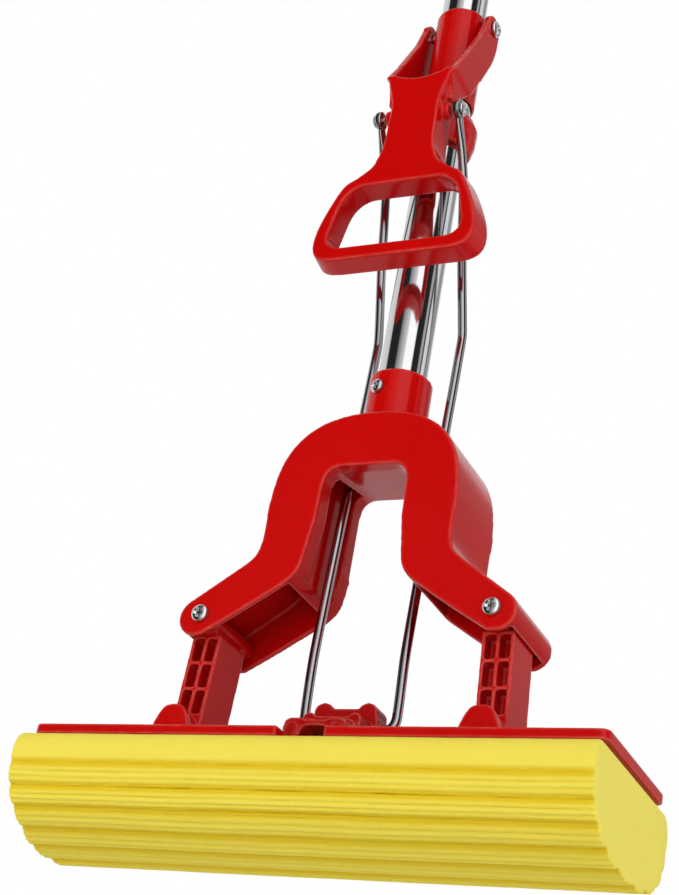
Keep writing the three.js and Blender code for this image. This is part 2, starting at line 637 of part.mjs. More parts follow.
function lever() {
  const { top, bottom } = NECK_Z;
  const trayY = LEVER_FRONT_Y + LEVER_WALL; // inside of the neck's front wall
  const above = box(-THROUGH, THROUGH, -THROUGH, 0, bottom, top);
  const below = box(-THROUGH, THROUGH, -THROUGH, 0, 240, NECK_LAP_Z);
  const grip = cut(slabY(leverFace(), LEVER_FRONT_Y, HANDLE_BACK_Y, 6), above);
  const handle = cut(flared(grip), slabY(handHole(), -THROUGH, 0, 6));
  const neck = cut(slabY(leverFace(), LEVER_FRONT_Y, LEVER_BACK_Y, 6), below);
  const trough = box(-NECK_HALF + LEVER_WALL, NECK_HALF - LEVER_WALL, trayY, 0, bottom, top);
  const mouth = box(-CHEEK_INNER_X, CHEEK_INNER_X, trayY, 0, 359, top);
  const root = box(-ROOT_OUTER_X, ROOT_OUTER_X, LEVER_FRONT_Y + 4.6, LEVER_BACK_Y - 4, 352, 359);
  const boss = rodX(4.6, -ROOT_OUTER_X, ROOT_OUTER_X, ROD_TOP.y, ROD_TOP.z, 20);
  const right = cheek();
  const shell = cut(join(handle, cut(join(neck, root, boss), trough, mouth), right, mirrored(right)));
  return cut(shell, rodX(PIVOT_BORE_R, -THROUGH, THROUGH, 0, PIVOT_Z, 24));
}

// ---------------------------------------------------------------- sleeve, collar and pivots
function leverSleeve() {
  const barrel = ring(TUBE_R + GAP, SLEEVE_R, SLEEVE_BOTTOM, SLEEVE_TOP, 0.8);
  return cut(barrel, rodX(PIVOT_BORE_R, -THROUGH, THROUGH, 0, PIVOT_Z, 24));
}

// A clamped ring, widest near its top, that the lever's neck rests against.
function stopCollar() {
  const hold = TUBE_R + GAP;
  return turned([[hold, 343], [15.8, 343], [17.6, 350], [18, 358], [15.4, 364], [hold, 364]]);
}

function pivotScrew() {
  const seat = CHEEK_OUTER_X + GAP;
  return screw(2.3, seat - TUBE_R - 0.6, 4.6, 2.8).rotateY(Math.PI / 2).translate(seat, 0, PIVOT_Z);
}

// ---------------------------------------------------------------- pole
function outerTube() {
  return ring(TUBE_R - TUBE_WALL, TUBE_R, SOCKET_FLOOR + GAP, TUBE_TOP);
}

function innerTube() {
  return ring(INNER_TUBE_R - TUBE_WALL, INNER_TUBE_R, INNER_TUBE_BOTTOM, INNER_TUBE_TOP);
}

function lockSleeve() {
  const hold = TUBE_R + GAP;
  const throat = INNER_TUBE_R + GAP;
  const profile = [[hold, LOCK_BOTTOM], [15.6, LOCK_BOTTOM], [16.4, LOCK_BOTTOM + 4]];
  profile.push([16.4, LOCK_SPLIT], [throat, LOCK_SPLIT]);
  profile.push([throat, TUBE_TOP + GAP], [hold, TUBE_TOP + GAP]);
  return turned(profile);
}

function twistCollar() {
  const throat = INNER_TUBE_R + GAP;
  const z0 = LOCK_SPLIT + GAP;
  const z1 = LOCK_TOP;
  const barrel = turned([[throat, z0], [17.5, z0], [17.5, z1 - 10], [14, z1], [throat, z1]]);
  const ribs = [];
  const count = 12;
  for (let i = 0; i < count; i += 1) {
    const rib = box(16.8, 18.6, -1.2, 1.2, z0 + 4, z1 - 12);
    ribs.push(rib.rotateZ((2 * Math.PI * i) / count));
  }
  return join(barrel, ...ribs);
}

function grip() {
  const hold = INNER_TUBE_R + GAP;
  const z0 = GRIP_BOTTOM;
  const z1 = GRIP_TOP;
  const outer = 15;
  const waist = 14; // radius in the grooves
  const profile = [[hold, z0], [13.6, z0], [outer, z0 + 3]];
  const grooves = 5;
  for (let i = 0; i < grooves; i += 1) {
    const z = z0 + 18 + (i * (z1 - z0 - 36)) / (grooves - 1);
    profile.push([outer, z - 4], [waist, z - 2.4], [waist, z + 2.4], [outer, z + 4]);
  }
  profile.push([outer, z1 - 1], [14.4, z1], [hold, z1]);
  return turned(profile);
}

// The cap's plug fills the top of the upper tube, and its flat tongue has the hanging eye.
function hangCap() {
  const tongue = new THREE.Shape();
  const { z, r, rim } = CAP_EYE;
  const foot = GRIP_TOP + 4;
  tongue.moveTo(-rim - 1, foot);
  tongue.lineTo(rim + 1, foot);
  tongue.lineTo(rim, z);
  tongue.absarc(0, z, rim, 0, Math.PI);
  const plug = rodZ(INNER_TUBE_R - TUBE_WALL - GAP, GRIP_TOP - 28, foot, 0, 0);
  const flange = rodZ(14.4, GRIP_TOP + 0.4, foot + 2, 0, 0);
  const body = join(plug, flange, slabY(tongue, -5, 5, 8));
  return cut(body, rodY(r, -THROUGH, THROUGH, 0, z, 24));
}

// ---------------------------------------------------------------- assembly
function piece(name, geometry, look) {
  const mesh = new THREE.Mesh(geometry, new THREE.MeshStandardMaterial(look));
  mesh.name = name;
  return mesh;
}

function pair(name, geometry, look) {
  return [piece(`${name}_right`, geometry, look), piece(`${name}_left`, mirrored(geometry), look)];
}

const head = new THREE.Group();
head.add(
  ...pair('sponge', spongeHalf(), yellow),
  ...pair('sponge_backing', backing(), white),
  ...pair('wing', wing(), red),
  ...pair('lug_pin', lugPin(), steel),
  piece('hinge_block', hingeBlock(), red),
  ...pair('hinge_pin', hingePin(), steel),
  ...pair('strut', strut(), red),
  piece('yoke', yoke(), red),
  piece('socket_screw', socketScrew(), chrome),
  ...pair('foot_screw', footScrew(), chrome),
  ...pair('foot_nut', footNut(), chrome),
);

const wringer = new THREE.Group();
wringer.add(
  piece('pull_rod', pullRod(), chrome),
  ...pair('rod_screw', rodScrew(), chrome),
  piece('lever', lever(), red),
  piece('lever_sleeve', leverSleeve(), red),
  ...pair('pivot_screw', pivotScrew(), chrome),
  piece('stop_collar', stopCollar(), red),
);

const pole = new THREE.Group();
pole.add(
  piece('outer_tube', outerTube(), chrome),
  piece('lock_sleeve', lockSleeve(), red),
  piece('twist_collar', twistCollar(), red),
  piece('inner_tube', innerTube(), chrome),
  piece('grip', grip(), red),
  piece('hang_cap', hangCap(), red),
);

const mop = new THREE.Group();
mop.add(head, wringer, pole);
mop.position.z = SPONGE_THICK;

const part = new THREE.Group();
part.add(mop);

export default part;
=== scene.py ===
"""Butterfly sponge mop with a lever wringer: the looks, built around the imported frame.

Lengths are in millimetres and measured like the CAD's: z = 0 is the underside of the wing plates.
place() turns such a point into metres in the row frame. Materials, lamps and stage are in metres.
"""
import json
from math import cos, pi, radians, sin, sqrt

import bmesh
import bpy
from mathutils import Matrix, Vector, noise

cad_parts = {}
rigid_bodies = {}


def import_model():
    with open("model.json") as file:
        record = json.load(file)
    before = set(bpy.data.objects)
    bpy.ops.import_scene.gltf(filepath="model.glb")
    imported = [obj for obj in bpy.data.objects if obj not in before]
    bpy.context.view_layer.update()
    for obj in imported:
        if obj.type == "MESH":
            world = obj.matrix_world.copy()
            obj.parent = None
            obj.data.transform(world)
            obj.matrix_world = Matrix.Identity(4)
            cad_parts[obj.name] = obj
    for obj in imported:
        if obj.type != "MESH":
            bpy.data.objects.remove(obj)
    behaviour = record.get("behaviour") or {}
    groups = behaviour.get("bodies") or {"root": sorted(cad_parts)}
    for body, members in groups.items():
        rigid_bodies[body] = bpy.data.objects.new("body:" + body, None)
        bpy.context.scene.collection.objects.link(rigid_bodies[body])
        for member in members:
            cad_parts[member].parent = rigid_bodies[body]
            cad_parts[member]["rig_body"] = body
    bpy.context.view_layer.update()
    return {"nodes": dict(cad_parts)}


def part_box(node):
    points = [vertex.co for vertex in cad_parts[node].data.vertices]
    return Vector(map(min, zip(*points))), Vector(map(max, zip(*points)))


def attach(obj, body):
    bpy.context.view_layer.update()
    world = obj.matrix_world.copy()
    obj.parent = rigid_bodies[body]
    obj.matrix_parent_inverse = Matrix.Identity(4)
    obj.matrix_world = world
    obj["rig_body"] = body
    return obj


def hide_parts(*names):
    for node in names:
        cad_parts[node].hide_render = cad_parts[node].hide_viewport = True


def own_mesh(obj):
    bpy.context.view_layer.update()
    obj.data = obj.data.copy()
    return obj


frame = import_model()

MM = 0.001
GAP = 0.3  # the CAD's clearance between two pieces that touch
PLATE_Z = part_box("wing_right")[0].z
SIDES = (("right", 1), ("left", -1))

# Linear colours
RED = (0.52, 0.0022, 0.0018)
DEEP_RED = (0.38, 0.002, 0.0018)
WEAR_AND_HIGHLIGHT_RED = (0.80, 0.16, 0.13)
# Pale pink of the edges: partly worn plastic, partly a painted highlight
YELLOW = (0.83, 0.69, 0.085)
# Darker gold: painted shade in the sponge's grooves and between its ridges
GROOVE_SHADE_GOLD = (0.70, 0.49, 0.010)
PALE_YELLOW = (0.88, 0.76, 0.13)
OFF_WHITE = (0.76, 0.73, 0.64)
CHROME = (0.80, 0.80, 0.82)
STEEL = (0.60, 0.61, 0.63)


def place(x, y, z):
    return Vector((x * MM, y * MM, PLATE_Z + z * MM))


# ---------------------------------------------------------------- materials
class Nodes:
    """A material's node tree, with short calls for the nodes used here."""

    def __init__(self, name, roughness, metallic=0.0):
        self.material = bpy.data.materials.new(name)
        self.material.use_nodes = True
        self.tree = self.material.node_tree
        self.shader = self.tree.nodes["Principled BSDF"]
        self.shader.inputs["Roughness"].default_value = roughness
        self.shader.inputs["Metallic"].default_value = metallic
        self.coords = self.tree.nodes.new("ShaderNodeTexCoord")

    def link(self, source, node, socket):
        self.tree.links.new(source, node.inputs[socket])

    def stretched(self, scale):
        mapping = self.tree.nodes.new("ShaderNodeMapping")
        mapping.inputs["Scale"].default_value = scale
        self.link(self.coords.outputs["Object"], mapping, "Vector")
        return mapping.outputs["Vector"]

    def noise(self, scale, detail=2.0, vector=None):
        node = self.tree.nodes.new("ShaderNodeTexNoise")
        node.inputs["Scale"].default_value = scale
        node.inputs["Detail"].default_value = detail
        self.link(vector or self.coords.outputs["Object"], node, "Vector")
        return node.outputs["Fac"]

    def cells(self, scale):
        node = self.tree.nodes.new("ShaderNodeTexVoronoi")
        node.inputs["Scale"].default_value = scale
        self.link(self.coords.outputs["Object"], node, "Vector")
        return node.outputs["Distance"]

    def ranged(self, value, low, high, start=0.3, stop=0.7):
        node = self.tree.nodes.new("ShaderNodeMapRange")
        limits = {"From Min": start, "From Max": stop, "To Min": low, "To Max": high}
        for socket, number in limits.items():
            node.inputs[socket].default_value = number
        self.link(value, node, "Value")
        return node.outputs["Result"]

    def times(self, a, b):
        node = self.tree.nodes.new("ShaderNodeMath")
        node.operation = "MULTIPLY"
        self.link(a, node, 0)
        self.link(b, node, 1)
        return node.outputs[0]

    def blend(self, share, a, b):
        """Colour a where share is 0 and b where it is 1; either may be another node's colour."""
        node = self.tree.nodes.new("ShaderNodeMix")
        node.data_type = "RGBA"
        self.link(share, node, 0)
        for socket, colour in ((6, a), (7, b)):
            if isinstance(colour, tuple):
                node.inputs[socket].default_value = (*colour, 1)
            else:
                self.link(colour, node, socket)
        return node.outputs[2]

    def stored(self, name):
        node = self.tree.nodes.new("ShaderNodeAttribute")
        node.attribute_name = name
        return node.outputs["Fac"]

    def edges(self, radius):
        """1 on a sharp edge, falling to 0 at about that distance from it."""
        bevel = self.tree.nodes.new("ShaderNodeBevel")
        bevel.samples = 4
        bevel.inputs["Radius"].default_value = radius
        surface = self.tree.nodes.new("ShaderNodeNewGeometry")
        dot = self.tree.nodes.new("ShaderNodeVectorMath")
        dot.operation = "DOT_PRODUCT"
        self.link(bevel.outputs["Normal"], dot, 0)
        self.link(surface.outputs["True Normal"], dot, 1)
        return self.ranged(dot.outputs["Value"], 1.0, 0.0, start=0.88, stop=0.995)

    def bumps(self, *layers):
        """Bumps of (height, strength, distance in metres), one on top of the other."""
        last = None
        for height, strength, distance in layers:
            node = self.tree.nodes.new("ShaderNodeBump")
            node.inputs["Strength"].default_value = strength
            node.inputs["Distance"].default_value = distance
            self.link(height, node, "Height")
            if last:
                self.link(last, node, "Normal")
            last = node.outputs["Normal"]
        self.link(last, self.shader, "Normal")


def darker(colour, share):
    return tuple(c * share for c in colour)


def moulded_red(name, base=RED, gloss=0.14):
    """Glossy moulded plastic: faint flow marks, orange peel, edges paled by wear and a painted
    highlight.
    """
    n = Nodes(name, gloss)
    flow = n.ranged(n.noise(18, 3, n.stretched((1, 1, 0.35))), 0.0, 1.0)
    body = n.blend(flow, base, darker(base, 0.93))
    # Paler edges in patches: wear, and a painted highlight along the edges
    wear_and_highlight = n.times(n.edges(0.0016), n.ranged(n.noise(140, 3), 0.3, 0.9))
    n.link(n.blend(wear_and_highlight, body, WEAR_AND_HIGHLIGHT_RED), n.shader, "Base Color")
    scuffs = n.noise(260, 4)
    n.link(n.ranged(scuffs, gloss - 0.03, gloss + 0.07), n.shader, "Roughness")
    n.bumps((n.noise(420, 2), 0.04, 0.0003), (scuffs, 0.015, 0.0001))
    n.shader.inputs["Specular IOR Level"].default_value = 0.25
    return n.material


def foam():
    """Fine-pored PVA foam: painted shade turns it golden in the grooves; paler on the cut ends."""
    n = Nodes("pva_foam", 0.82)
    patches = n.ranged(n.noise(45, 4), 0.0, 0.35)
    top = n.blend(patches, YELLOW, darker(YELLOW, 0.93))
    # Painted shade: the stored groove share turns the foam golden in grooves and between ridges
    sides = n.blend(n.stored("groove"), top, GROOVE_SHADE_GOLD)
    n.link(n.blend(n.stored("cut"), sides, PALE_YELLOW), n.shader, "Base Color")
    n.link(n.ranged(n.noise(260, 2), 0.74, 0.90), n.shader, "Roughness")
    pores = (n.cells(900), 0.32, 0.0005)
    fine_pores = (n.noise(1900, 2), 0.25, 0.0003)
    swells = (n.noise(190, 3), 0.22, 0.0012)
    n.bumps(pores, fine_pores, swells)
    n.shader.inputs["Specular IOR Level"].default_value = 0.18
    n.shader.inputs["Subsurface Weight"].default_value = 0.12
    n.shader.inputs["Subsurface Radius"].default_value = (0.004, 0.003, 0.0006)
    n.shader.inputs["Subsurface Scale"].default_value = 1.0
    return n.material


def plated(name, base=CHROME, gloss=0.07, grain=(1, 1, 0.03)):
    """Plated metal with faint draw lines along the piece."""
    n = Nodes(name, gloss, 1.0)
    lines = n.noise(700, 3, n.stretched(grain))
    haze = n.noise(60, 3)
    n.link(n.ranged(lines, gloss - 0.02, gloss + 0.07), n.shader, "Roughness")
    tint = n.blend(n.ranged(haze, 0.0, 0.5), base, darker(base, 0.88))
    n.link(tint, n.shader, "Base Color")
    n.bumps((lines, 0.015, 0.0001), (haze, 0.02, 0.0006))
    return n.material


def sheet_plastic():
    """Matt off-white backing sheet."""
    n = Nodes("backing_sheet", 0.6)
    tint = n.blend(n.ranged(n.noise(30, 4), 0, 1), OFF_WHITE, darker(OFF_WHITE, 0.9))
    n.link(tint, n.shader, "Base Color")
    n.bumps((n.noise(700, 2), 0.1, 0.0003),)
    return n.material


RED_PLASTIC = moulded_red("red_plastic")
HINGE_PLASTIC = moulded_red("hinge_plastic", DEEP_RED, 0.28)
GRIP_PLASTIC = moulded_red("grip_plastic", DEEP_RED, 0.42)
FOAM = foam()
BACKING = sheet_plastic()
TUBE_CHROME = plated("tube_chrome")
# The wire's chrome is darkened: painted shade standing in for its dark reflections
SHADED_WIRE_CHROME = plated("wire_chrome", (0.44, 0.44, 0.46), 0.05)
SCREW_CHROME = plated("screw_chrome", gloss=0.14, grain=(1, 1, 1))
PIN_STEEL = plated("pin_steel", STEEL, 0.26, (1, 0.05, 1))


# ---------------------------------------------------------------- mesh helpers
WELD = 4e-6  # CAD corners closer than this many metres are one


def cad_mesh(node):
    bm = bmesh.new()
    bm.from_mesh(frame["nodes"][node].data)
    bmesh.ops.remove_doubles(bm, verts=bm.verts, dist=WELD)
    return bm


def millimetres(point):
    """What place() takes, as a vector, from a point in metres."""
    return (point - Vector((0, 0, PLATE_Z))) / MM


def stand_for(piece, node, material):
    """The piece is shown in place of a CAD node and rides on the same body."""
    piece.data.materials.clear()
    piece.data.materials.append(material)
    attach(piece, frame["nodes"][node]["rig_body"])
    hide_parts(node)
    return piece


def as_object(name, bm):
    mesh = bpy.data.meshes.new(name)
    bm.normal_update()
    bm.to_mesh(mesh)
    bm.free()
    mesh.shade_smooth()
    piece = bpy.data.objects.new(name, mesh)
    bpy.context.scene.collection.objects.link(piece)
    return piece


def soften(piece, sharp=40):
    """Smooth shading that stays crisp on edges sharper than this many degrees."""
    piece.data.set_sharp_from_angle(angle=radians(sharp))
    return piece


def final_mesh(piece):
    """Applies the piece's modifiers, so that its mesh is what is seen."""
    graph = bpy.context.evaluated_depsgraph_get()
    mesh = bpy.data.meshes.new_from_object(piece.evaluated_get(graph))
    piece.modifiers.clear()
    piece.data = mesh


def flat_faces_lead(piece):
    """Shading normals that follow the large faces, so that only the rounded edges look round."""
    normals = piece.modifiers.new("normals", "WEIGHTED_NORMAL")
    normals.mode = "FACE_AREA_WITH_ANGLE"


def moulding(node, material, voxel, passes, keep=0.4, suffix="moulded", extra=None):
    """A CAD node made again in fine even quads, its edges worn round, then thinned where it is flat.

    voxel is the size of the quads. passes is a list of (count, where): that many rounds of smoothing,
    on the whole piece or where the function says so of a point. keep is the share of the faces that
    stays. extra adds to the mesh first.
    """
    bm = cad_mesh(node)
    if extra:
        extra(bm)
    piece = as_object(f"{node}_{suffix}", bm)
    remesh = piece.modifiers.new("even", "REMESH")
    remesh.mode = "VOXEL"
    remesh.voxel_size = voxel * MM
    final_mesh(piece)
    for count, where in passes:
        smooth = piece.modifiers.new("round", "SMOOTH")
        smooth.factor = 0.5
        smooth.iterations = count
        if where:
            group = piece.vertex_groups.new(name="part")
            chosen = [v.index for v in piece.data.vertices if where(millimetres(v.co))]
            group.add(chosen, 1.0, "REPLACE")
            smooth.vertex_group = "part"
        final_mesh(piece)
        piece.vertex_groups.clear()
    thin = piece.modifiers.new("thin", "DECIMATE")
    thin.ratio = keep
    final_mesh(piece)
    piece.data.shade_smooth()
    flat_faces_lead(piece)
    final_mesh(piece)
    return stand_for(piece, node, material)


def turned(node, material):
    """A small metal CAD node with its sharp edges rounded."""
    bm = cad_mesh(node)
    bmesh.ops.dissolve_limit(bm, angle_limit=radians(0.8), verts=bm.verts, edges=bm.edges)
    piece = as_object(f"{node}_turned", bm)
    bevel = piece.modifiers.new("rounding", "BEVEL")
    bevel.limit_method = "ANGLE"
    bevel.angle_limit = radians(27)
    bevel.width = 0.35 * MM
    bevel.segments = 3
    flat_faces_lead(piece)
    return stand_for(piece, node, material)


def skin(bm, rings, closed=False):
    """Quads between successive rings of vertices, and from the last to the first if closed."""
    pairs = list(zip(rings, rings[1:]))
    if closed:
        pairs.append((rings[-1], rings[0]))
    for a, b in pairs:
        for i in range(len(a)):
            j = (i + 1) % len(a)
            bm.faces.new((a[i], a[j], b[j], b[i]))


def round_ring(radius, height, sides):
    """Points round +Z at this height."""
    angles = [2 * pi * i / sides for i in range(sides)]
    return [Vector((radius * cos(a), radius * sin(a), height)) for a in angles]


def revolve(name, profile):
    """A closed profile of (radius, height) turned about the pole's axis."""
    bm = bmesh.new()
    rings = []
    for radius, height in profile:
        rings.append([bm.verts.new(place(*point)) for point in round_ring(radius, height, 96)])
    skin(bm, rings, closed=True)
    bmesh.ops.recalc_face_normals(bm, faces=bm.faces)
    return as_object(name, bm)


# ---------------------------------------------------------------- sponge
SPONGE_HALF_LENGTH = 138
SPONGE_TOP = -2.1
SPONGE_BOTTOM = -46
SPONGE_SIDE = 53.6
SPONGE_LAND = 11  # half width of the flat crown
SPONGE_MIDDLE = 44  # half length of the stretch that is pinched between the folding wings

# Grooves from the plain band to the middle, as shares of the ribbed length
GROOVES = (0.004, 0.085, 0.166, 0.286, 0.417)
PLAIN_BAND_END = -17.5  # the sides are plain down to here
GROOVE_DEPTH = 2.6
GROOVE_WIDTH = 0.42  # a smaller power makes the ribs squarer and the grooves narrower
LEAD_IN = 0.022  # the plain band runs into its first groove over this share
FIRST_GROOVE = 0.5  # depth of that groove as a share of the others
RIDGES = 4  # fine ridges on each rib
RIDGE_DEPTH = 0.7
RIDGE_WIDTH = 0.8  # the same for the ridges and the lines between them
RIDGE_FADE = 6  # the ridges fade out over the rib's outer 1/6 on either side
GROOVE_SHADE_RATE = 1.7  # how fast painted shade turns the foam golden in a groove, and between two ridges
RIDGE_SHADE_RATE = 0.42

# The left end is cut askew: it reaches LEFT_OVERHANG further at the lower back
LEFT_OVERHANG = 12
ASKEW_FROM = 80  # the cut's lean starts this far from the middle
ASKEW_FRONT = -50  # nothing is added in front of this y
ASKEW_WIDTH = 65  # and everything from this much further back

FINE_STEP = 0.42  # distance between points over the ribs, and over the plain bands
PLAIN_STEP = 1.6
RIB_MARGIN = 3


def curve_points(points, count):
    """Points on a Bezier curve of degree 2 or 3, without its last."""
    found = []
    for i in range(count):
        t = i / count
        u = 1 - t
        if len(points) == 3:
            weights = (u * u, 2 * u * t, t * t)
        else:
            weights = (u ** 3, 3 * u * u * t, 3 * u * t * t, t ** 3)
        found.append(tuple(sum(w * p[k] for w, p in zip(weights, points)) for k in (0, 1)))
    return found


def sponge_outline():
    """The section's smooth outer curve as (y, z): down the front, under, and up the back."""
    side, top, low, land = SPONGE_SIDE, SPONGE_TOP, SPONGE_BOTTOM, SPONGE_LAND
    fullest = (-side, -13)
    turn_under = (-33, -41.6)
    half = curve_points([(-44, top), (-side, top), fullest], 40)
    half += curve_points([fullest, (-side, -29), (-47, -37), turn_under], 90)
    half += curve_points([turn_under, (-land - 9, low + 0.2), (-land, low)], 50)
    half += [(-land * (1 - i / 20), low) for i in range(20)]
    return half + [(0, low)] + [(-y, z) for y, z in reversed(half)]


def spaced(points, step_of):
    """Walks along a polyline in steps of step_of(length so far).

    Gives a list of (y, z, normal y, normal z, length so far), and the length at each of the points.
    """
    lengths = [0.0]
    for (a, b), (c, d) in zip(points, points[1:]):
        lengths.append(lengths[-1] + sqrt((c - a) ** 2 + (d - b) ** 2))
    found = []
    at, k = 0.0, 0
    while at < lengths[-1]:
        while lengths[k + 1] < at:
            k += 1
        t = (at - lengths[k]) / max(lengths[k + 1] - lengths[k], 1e-9)
        (a, b), (c, d) = points[k], points[k + 1]
        size = sqrt((c - a) ** 2 + (d - b) ** 2)
        found.append((a + (c - a) * t, b + (d - b) * t, (b - d) / size, (c - a) / size, at))
        at += step_of(at)
    return found, lengths


def lobed(share):
    """Depth under the outer curve at this share of the ribbed length, and its painted golden shade.
    """
    edges = GROOVES + tuple(1 - g for g in reversed(GROOVES))
    before = (min(share, 1 - share) - GROOVES[0]) / LEAD_IN + 1
    if 0 < before < 1:
        ramp = before * before * (3 - 2 * before)
        return GROOVE_DEPTH * FIRST_GROOVE * ramp, ramp
    for low, high in zip(edges, edges[1:]):
        if low <= share <= high:
            part = (share - low) / (high - low)
            groove = 1 - sin(pi * part) ** GROOVE_WIDTH
            between = 1 - abs(cos(RIDGES * pi * part)) ** RIDGE_WIDTH
            fade = min(1.0, RIDGE_FADE * min(part, 1 - part))
            outermost = (low == edges[0] and part < 0.5) or (high == edges[-1] and part > 0.5)
            deep = GROOVE_DEPTH * (FIRST_GROOVE if outermost else 1)
            depth = deep * groove + RIDGE_DEPTH * between * fade
            # The second value is the painted golden shade of the grooves and of the lines between
            # ridges
            return depth, min(1.0, GROOVE_SHADE_RATE * groove + RIDGE_SHADE_RATE * between * fade)
    return 0.0, 0.0


def sponge_section():
    """The points round the section, where its ribbed length starts, and how long that is."""
    outline = sponge_outline()
    _, lengths = spaced(outline, lambda at: PLAIN_STEP)
    start = next(length for length, (_, z) in zip(lengths, outline) if z < PLAIN_BAND_END)
    end = lengths[-1] - start

    def step_of(at):
        return FINE_STEP if start - RIB_MARGIN < at < end + RIB_MARGIN else PLAIN_STEP

    points, _ = spaced(outline, step_of)
    return points, start, end - start


SECTION = sponge_section()


def foam_mesh():
    """A mesh that can store each vertex's painted groove shade, and how near a cut end it is."""
    bm = bmesh.new()
    bm.verts.layers.float.new("groove")
    bm.verts.layers.float.new("cut")
    return bm


def askew(x, y):
    """How much further to the left the foam reaches at this point."""
    near_end = min(1.0, max(0.0, (-x - ASKEW_FROM) / (SPONGE_HALF_LENGTH - ASKEW_FROM)))
    behind = min(1.0, max(0.0, (y - ASKEW_FRONT) / ASKEW_WIDTH))
    return LEFT_OVERHANG * near_end * behind * behind * (3 - 2 * behind)


def foam_ring(bm, x, inset=0.0, ended=0.0):
    """The section at x. inset pulls it in, and ended is 1 where the foam is cut across.

    Noise keeps it from looking machined: ribs wander, the foam swells and its skin is uneven.
    """
    points, start, ribbed = SECTION
    groove = bm.verts.layers.float["groove"]
    cut = bm.verts.layers.float["cut"]
    along = abs(x)
    verts = []
    for y, z, ny, nz, length in points:
        wave = noise.noise(Vector((along * 0.02, length * 0.11, 3.7)))
        fine = noise.noise(Vector((along * 0.09, length * 0.8, 9.1)))
        swell = noise.noise(Vector((along * 0.012, length * 0.02, 21.0)))
        depth, share = lobed((length - start + 0.45 * wave) / ribbed)
        depth += 0.18 * fine * depth + 0.35 * swell + 0.12 * fine + 0.2 + inset
        vert = bm.verts.new(place(x - askew(x, y), y + ny * depth, z + nz * depth))
        # How much painted golden shade this vertex gets
        vert[groove] = share
        vert[cut] = ended
        verts.append(vert)
    return verts


def sponge_end(bm, rim, x):
    """Closes the sponge's cut end in shrinking rings with a slightly uneven face."""
    cut = bm.verts.layers.float["cut"]
    centre_z = -20
    outer = [millimetres(vert.co).yz for vert in rim]
    last = rim
    for share in (0.86, 0.62, 0.34):
        inner = []
        for y, z in outer:
            dip = 0.25 * noise.noise(Vector((y * share * 0.07, z * share * 0.07, 5.0))) - 0.15
            across = x * (1 + dip / abs(x)) - askew(x, y * share)
            new = bm.verts.new(place(across, y * share, centre_z + (z - centre_z) * share))
            new[cut] = 1
            inner.append(new)
        skin(bm, [last, inner])
        last = inner
    bm.faces.new(last)


def foam_piece(bm, name):
    bmesh.ops.recalc_face_normals(bm, faces=bm.faces)
    piece = soften(as_object(name, bm), 60)
    piece.data.materials.append(FOAM)
    return piece


def sponge(side, sign):
    """One end of the sponge, whose cut edge is rounded in three rings of (back, inset, ended)."""
    bm = foam_mesh()
    rows = 52
    end = SPONGE_HALF_LENGTH
    edge = 1.2
    span = end - edge - SPONGE_MIDDLE
    rings = [foam_ring(bm, sign * (SPONGE_MIDDLE + span * i / rows)) for i in range(rows + 1)]
    for back, inset, ended in ((0.55, 0.12, 0.0), (0.15, 0.5, 0.6), (0, 1.1, 1.0)):
        rings.append(foam_ring(bm, sign * (end - back), inset, ended))
    skin(bm, rings)
    sponge_end(bm, rings[-1], sign * end)
    bm.faces.new(rings[0])
    piece = foam_piece(bm, f"sponge_foam_{side}")
    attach(piece, frame["nodes"][f"sponge_{side}"]["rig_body"])
    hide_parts(f"sponge_{side}")
    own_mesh(piece)


def sponge_middle():
    """The stretch that stays under the hinge block and is pinched between the folding wings."""
    bm = foam_mesh()
    rows = 44
    rings = [foam_ring(bm, SPONGE_MIDDLE * (2 * i / rows - 1)) for i in range(rows + 1)]
    skin(bm, rings)
    bm.faces.new(rings[0])
    bm.faces.new(rings[-1])
    piece = foam_piece(bm, "sponge_foam_middle")
    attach(piece, frame["nodes"]["hinge_block"]["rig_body"])
    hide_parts("sponge_right")
    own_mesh(piece)


# ---------------------------------------------------------------- wire
WIRE_R = 2.4
WIRE_X = 23.4
WIRE_Y = 5
WIRE_Z = 19
EYE = Vector((22, -31, 345))
EYE_HALF = 1.6  # half the eye's thickness, along X
# Half of the eye's profile, as (radius from its axis, height along it)
EYE_RING = [(2.1, -1.2), (2.5, -EYE_HALF), (4.3, -EYE_HALF), (4.8, -1.3), (5, -0.8)]
EYE_SPREAD = 0.4  # the wire widens by this share where it is pressed flat next to the eye
EYE_BLEND = 12  # points of the path over which it turns flat
# The right half, from the middle of the bottom up to the eye
WIRE_LEG = [
    (0, WIRE_Y, WIRE_Z),
    (WIRE_X - 7, WIRE_Y, WIRE_Z),
    (WIRE_X - 2.4, WIRE_Y, WIRE_Z + 1.2),
    (WIRE_X - 0.4, WIRE_Y, WIRE_Z + 4.4),
    (WIRE_X, WIRE_Y - 0.3, WIRE_Z + 10),
    (WIRE_X, 3.4, 52),
    (WIRE_X, 3.6, 64),
    (WIRE_X, 7.6, 147),
    (WIRE_X, 11.6, 224),
    (WIRE_X, 11.6, 233),
    (WIRE_X - 0.2, 9.4, 241),
    (WIRE_X - 0.8, -1, 272),
    (EYE.x, -13, 314),
    (EYE.x, -22, 330),
    (EYE.x, -28.6, 341),
]


